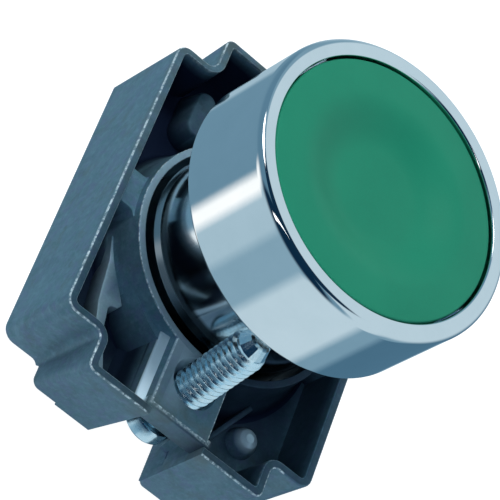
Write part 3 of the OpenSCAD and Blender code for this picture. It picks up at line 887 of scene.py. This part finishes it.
def shade_wall(x, y, z, values):
    inner = wall_side(np.c_[x, y, z])
    # painted shade: the rim's front face darker except at its top end, and the inner skin darkened with depth
    rim_shade = 0.56 - 0.34 * smooth(y, 9, 15)
    skin = np.maximum(values["depth"], smooth(z, FRONT - 0.15, FRONT - 1.6)) * inner
    values["depth"] = np.where(z > FRONT - 0.012, rim_shade, skin)
    # worn edges cut back inside, and left off the right wall, which lies in shade
    values["edge"] *= np.where(inner > 0, 0.35, 1.0) * (x < 12) * ((np.abs(x) > 3.3) | (y > 0))
    values["stain"] = np.maximum(values["stain"], 0.7 * smooth(y, 8, 22) * (z > FRONT - 0.25))
    # painted shade: the outer skin of the lower wall darkened, as it faces away from the light
    values["depth"] = np.maximum(values["depth"], 0.24 * smooth(y, -13.5, -17.0) * (1 - inner))
    # less painted shade inside at the lower right
    values["depth"] *= 1 - 0.4 * smooth(x, 4, 9) * smooth(y, -2, -8) * (z < FRONT - 1.0) * inner
    # painted shade kept light where the wall ends at the slot
    slot_end = (np.abs(x) < 3.3) & (y < -15)
    values["depth"] = np.where(slot_end, np.minimum(values["depth"], 0.2), values["depth"])


def shade_core(x, y, z, values):
    r = np.hypot(x, y)
    # painted shadow: right marks the lower right of the core, where the bezel's shadow falls
    right = smooth(x, 0.5, 4.0) * smooth(y, 6, 0)
    rim = (r < 12.5) & (z > FRONT - 0.015)
    low = smooth(z, -13.6, -16.0)
    post = (r > 14.6) & (z < -13.0)
    upper = smooth(y, 0, 8)
    # painted shade: the core darkened by depth, on the posts, on the peg only low down, on the upper floor
    # and in the bezel's shadow
    cavity_shade = np.where(r < 12.95, 0.15 * values["depth"], 0.3 * values["depth"] + 0.7 * low)
    peg = np.hypot(x - 9.7, y + 12.6) < 2.2
    cavity_shade = np.where(post, np.where(y > 0, np.maximum(cavity_shade, 0.6), np.where(peg, low, 0.75)), cavity_shade)
    # the slot's cut faces get a middling painted shade, the lit rib none, and the floor by the round post
    # less
    slot_side = (np.abs(x) < 4.2) & (y < -15.3) & ((z < -16.0) | (y < -18.9))
    rib = (x < -6.8) & (y < -3.5) & (z > -14.6) & (r > 13.0)
    cavity_shade = np.maximum(cavity_shade, np.maximum(0.85 * right * (r < 13.6), upper * low))
    cavity_shade = cavity_shade * (1 - 0.7 * smooth(x, 6.8, 8.6) * smooth(y, -7, -10) * (r > 14.6))
    values["depth"] = np.where(slot_side, 0.28, np.where(rib, 0.0, cavity_shade))
    # worn edges left off beyond the rim and in the bezel's shadow
    values["edge"] *= (r < 12.5) * (1 - right)
    # painted highlight on the peg top and the rib, and on the ring rim outside the bezel's shadow
    peg_highlight = 0.45 * (post & peg) * smooth(z, -15.4, -14.7)
    values["highlight_and_satin"] = np.where(rim, 0.24, 0.0) * (1 - right) + peg_highlight + 0.2 * rib


def shade_boss(x, y, z, values):
    # painted highlight: the chamfer strip lightened, fading towards the ring
    strip = (x > -4.8) & (x < -3.86) & (z < FRONT - 0.7) & (z > FRONT - 1.3)
    # painted shade: under the front, down the flank and on the right flank, half dark next to the slot
    below = (z < -12.7) & (x > -4.9)
    right = smooth(x, 3.35, 3.45)
    flank = np.maximum(0.95 * smooth(z, -11.8, -14.5), 0.8 * right)
    values["depth"] = np.where(below, np.where(y < -17.9, 0.3, 0.9), flank)
    # painted highlight on the left part of the front face
    face = 0.42 * (z > FRONT - 0.2) * (y > -18.95) * smooth(x, 0.5, -2.5)
    values["highlight_and_satin"] = np.where(strip, 1.0 - 0.6 * smooth(y, -18.5, -12.5), face)
    values["edge"] *= (np.abs(x) < 3.6)


def wall_side(co):
    """0 on the outer skin of the wall, 1 on its inner skin and inside it."""
    out = np.zeros(len(co))
    loops = [np.array(rounded(collar_path(0.45, back), 6)) for back in (0.0, 1.0)]
    for i, (x, y, z) in enumerate(co):
        t = min(max((FRONT - z) / DEPTH, 0), 1)
        ring = loops[0] * (1 - t) + loops[1] * t
        nxt = np.roll(ring, -1, 0)
        crosses = (ring[:, 1] > y) != (nxt[:, 1] > y)
        with np.errstate(divide="ignore", invalid="ignore"):
            at = ring[:, 0] + (y - ring[:, 1]) * (nxt[:, 0] - ring[:, 0]) / (nxt[:, 1] - ring[:, 1])
        out[i] = float(np.count_nonzero(crosses & (x < at)) % 2)
    return out


def make_collar():
    look = LOOK["zinc_casting"]
    wall = piece("collar", *collar_wall(), "head", "zinc_casting", look, 34, ("collar_frame",))
    shade(wall, shade_wall)
    slot = box_shape((-3.2, -22.0, -21.0), (3.2, -18.0, -12.8), 0.02)
    bore = [(0.0, -9.4), (2.76, -9.4), (2.76, -4.6), (2.08, -4.6), (2.08, -0.6), (2.95, 0.6),
            (2.95, 3.0), (0.0, 3.0)]
    bore = move(lathe(bore, 61, closed=False), SCREW @ Matrix.Rotation(0.03, 4, "Z"))
    floor = piece("collar_floor", *collar_floor(), "head", "zinc_casting", look, 34)
    cut(floor, box_shape((-3.26, -22.0, -21.0), (3.26, -18.0, -12.8), 0.02))
    cut(floor, bore)
    shade(floor, shade_core)
    inside = join(collar_ring(), collar_webs(), collar_posts())
    core = piece("collar_core", *inside, "head", "zinc_casting", look, 34)
    shade(core, shade_core)
    boss = piece("collar_boss", *collar_boss(), "head", "zinc_casting", look, 34)
    cut(boss, box_shape((-3.9, -19.9, -12.8), (3.9, -18.9, FRONT - 0.03), 0.14), "UNION")
    cut(boss, slot)
    cut(boss, barrel(12.15, 12.15, -9.0, -13.0, 192))
    cut(boss, bore)
    boss.data.shade_smooth()
    boss.data.set_sharp_from_angle(angle=math.radians(34))
    shade(boss, shade_boss)
    return wall


# ---------------------------------------------------------------- springs and seal

def make_coil():
    r, wire, z0, z1, turns = 8.95, 0.75, -5.3, 7.2, 6.5
    around, steps = 14, 300
    verts, faces = [], []
    for i in range(steps + 1):
        a = 2 * math.pi * turns * i / steps
        z = z0 + (z1 - z0) * i / steps
        for k in range(around):
            b = 2 * math.pi * k / around
            rr = r + wire / 2 * math.cos(b)
            verts.append((rr * math.cos(a), rr * math.sin(a), z + wire / 2 * math.sin(b)))
    for i in range(steps):
        for k in range(around):
            kk = (k + 1) % around
            faces.append([i * around + k, (i + 1) * around + k, (i + 1) * around + kk, i * around + kk])
    faces.append(list(range(around)))
    faces.append([steps * around + k for k in range(around)][::-1])
    return piece("coil", verts, faces, "head", "spring_steel", LOOK["spring_steel"], 40, ("return_spring",))


def make_bellows():
    profile = rounded([(10.9, 3.0, 0.05), (12.7, 3.0, 0.05), (12.7, 3.6, 0.05), (11.9, 3.6, 0.15),
                       (11.35, 5.2, 0.6), (11.45, 6.4, 0.6), (10.7, 8.5, 0.2), (9.9, 8.5, 0.05),
                       (9.9, 7.7, 0.05), (10.3, 7.6, 0.2),
                       (10.95, 6.3, 0.6), (10.85, 5.1, 0.6), (11.3, 3.6, 0.15), (10.9, 3.6, 0.02)], 4)
    return piece("bellows", *lathe(profile, 96), "head", "black_rubber", LOOK["black_rubber"], 40,
                 ("seal_bellows",))


make_bezel()
make_cap()
make_screw()
make_collar()
coil = make_coil()
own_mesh(coil)
bellows = make_bellows()
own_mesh(bellows)


# ---------------------------------------------------------------- stage and light

def make_floor():
    mesh = bpy.data.meshes.new("floor")
    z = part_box("collar_frame")[0].z - 0.00002
    mesh.from_pydata([(-3, -3, z), (3, -3, z), (3, 3, z), (-3, 3, z)], [], [(0, 1, 2, 3)])
    m = Nodes("floor")
    m.set(Roughness=0.9, Specular_IOR_Level=0.0, Base_Color=(0.25, 0.25, 0.25, 1))
    m.set(Emission_Color=(1, 1, 1, 1), Emission_Strength=0.95)
    mesh.materials.append(m.material)
    obj = bpy.data.objects.new("floor", mesh)
    scene.collection.objects.link(obj)
    obj.visible_glossy = False


# The studio's soft panels round the button. Each runs from its direction in degrees to the next one's, and
# has one brightness. The first list lies low, the second high.
LOW_PANELS = [(45, 0.45), (95, 0.25), (185, 1.0), (200, 0.5),
              (230, 0.35), (265, 0.6), (325, 0.3), (345, 0.15)]
HIGH_PANELS = [(80, 0.3), (105, 0.2), (200, 0.02), (285, 0.25), (300, 0.6)]
ZENITH = 0.025
PANEL_EDGE = 4.0
STUDIO_GAIN = 1.15


def cool(level):
    """The studio's light is cool, and its dim parts are bluer than its bright ones."""
    return level ** 1.45, level, level ** 0.78


def towards(azimuth, rise, distance=0.6):
    a, e = math.radians(azimuth), math.radians(rise)
    return distance * math.cos(e) * math.cos(a), distance * math.cos(e) * math.sin(a), distance * math.sin(e)


def make_world():
    """A soft studio as the polished metal sees it: panels round the button's axis, below and above."""
    world = bpy.data.worlds.new("studio")
    scene.world = world
    world.use_nodes = True
    tree = world.node_tree
    tree.nodes.clear()

    def node(kind, **settings):
        made = tree.nodes.new(kind)
        for key, value in settings.items():
            setattr(made, key, value)
        return made

    def span(source, a0, a1, b0=0.0, b1=1.0, smooth=False):
        made = node("ShaderNodeMapRange", interpolation_type="SMOOTHSTEP" if smooth else "LINEAR")
        for key, value in (("From Min", a0), ("From Max", a1), ("To Min", b0), ("To Max", b1)):
            made.inputs[key].default_value = value
        tree.links.new(source, made.inputs["Value"])
        return made.outputs[0]

    def panels(source, bands):
        """A colour by direction, even inside each panel and blended at the joints."""
        made = node("ShaderNodeValToRGB")
        stops = []
        for (start, level), (end, _) in zip(bands, bands[1:] + [(bands[0][0] + 360, 0.0)]):
            for deg in (start + PANEL_EDGE, end - PANEL_EDGE):
                stops.append((((deg + 180) % 360) / 360, cool(level)))
        stops.sort()
        while len(made.color_ramp.elements) < len(stops):
            made.color_ramp.elements.new(0.5)
        for element, (pos, colour) in zip(made.color_ramp.elements, stops):
            element.position = pos
            element.color = (*[v * STUDIO_GAIN for v in colour], 1)
        tree.links.new(source, made.inputs["Fac"])
        return made.outputs[0]

    def blend(share, a, b):
        made = node("ShaderNodeMix", data_type="RGBA")
        tree.links.new(share, made.inputs[0])
        for socket, value in ((made.inputs[6], a), (made.inputs[7], b)):
            if isinstance(value, tuple):
                socket.default_value = (*value, 1)
            else:
                tree.links.new(value, socket)
        return made.outputs[2]

    out = node("ShaderNodeOutputWorld")
    background = node("ShaderNodeBackground")
    split = node("ShaderNodeSeparateXYZ")
    coords = node("ShaderNodeTexCoord").outputs["Generated"]
    tree.links.new(coords, split.inputs[0])
    angle = node("ShaderNodeMath", operation="ARCTAN2")
    tree.links.new(split.outputs["Y"], angle.inputs[0])
    tree.links.new(split.outputs["X"], angle.inputs[1])
    turn = span(angle.outputs[0], -math.pi, math.pi)
    rise = split.outputs["Z"]
    sides = blend(span(rise, -0.40, 0.32, smooth=True), panels(turn, LOW_PANELS), panels(turn, HIGH_PANELS))
    whole = blend(span(rise, 0.866, 0.913, smooth=True), sides, cool(ZENITH))
    # a round lamp behind a diffuser, and a narrow upright one
    facing = node("ShaderNodeVectorMath", operation="DOT_PRODUCT")
    tree.links.new(coords, facing.inputs[0])
    facing.inputs[1].default_value = towards(130, 59, 1.0)
    lamp = span(facing.outputs["Value"], 0.984, 0.998, 0.0, 7.0, smooth=True)
    lean = node("ShaderNodeMath", operation="ABSOLUTE")
    offset = node("ShaderNodeMath", operation="SUBTRACT")
    tree.links.new(span(angle.outputs[0], -math.pi, math.pi, -0.5, 0.5), offset.inputs[0])
    offset.inputs[1].default_value = 221 / 360 - 1
    tree.links.new(offset.outputs[0], lean.inputs[0])
    strip = node("ShaderNodeMath", operation="MULTIPLY")
    tree.links.new(span(lean.outputs[0], 0.011, 0.005, 0.0, 2.5, smooth=True), strip.inputs[0])
    tree.links.new(span(rise, 0.40, 0.55, smooth=True), strip.inputs[1])
    both = node("ShaderNodeMath", operation="ADD")
    tree.links.new(lamp, both.inputs[0])
    tree.links.new(strip.outputs[0], both.inputs[1])
    add = node("ShaderNodeVectorMath", operation="ADD")
    tree.links.new(whole, add.inputs[0])
    tree.links.new(both.outputs[0], add.inputs[1])
    whole = add.outputs[0]
    tree.links.new(whole, background.inputs["Color"])
    rays = node("ShaderNodeLightPath")
    strength = span(rays.outputs["Is Diffuse Ray"], 0.0, 1.0, 1.0, 0.35)
    tree.links.new(strength, background.inputs["Strength"])
    tree.links.new(background.outputs[0], out.inputs["Surface"])


def area_light(name, position, target, size, power, colour=(1, 1, 1)):
    data = bpy.data.lights.new(name, "AREA")
    data.shape = "DISK"
    data.size = size
    data.energy = power
    data.color = colour
    obj = bpy.data.objects.new(name, data)
    obj.location = position
    obj.rotation_euler = (Vector(target) - Vector(position)).to_track_quat("-Z", "Y").to_euler()
    scene.collection.objects.link(obj)
    return obj


make_floor()
make_world()
for name, place, size, power, colour in (("key", towards(130, 59), 0.16, 1.6, (0.97, 1.0, 1.0)),
                                         ("side", towards(150, 35), 0.3, 0.9, (0.95, 1.0, 1.0)),
                                         ("fill", towards(245, 42), 0.3, 1.4, (0.72, 0.9, 1.15))):
    area_light(name, place, (0, 0, -0.01), size, power, colour).visible_glossy = False
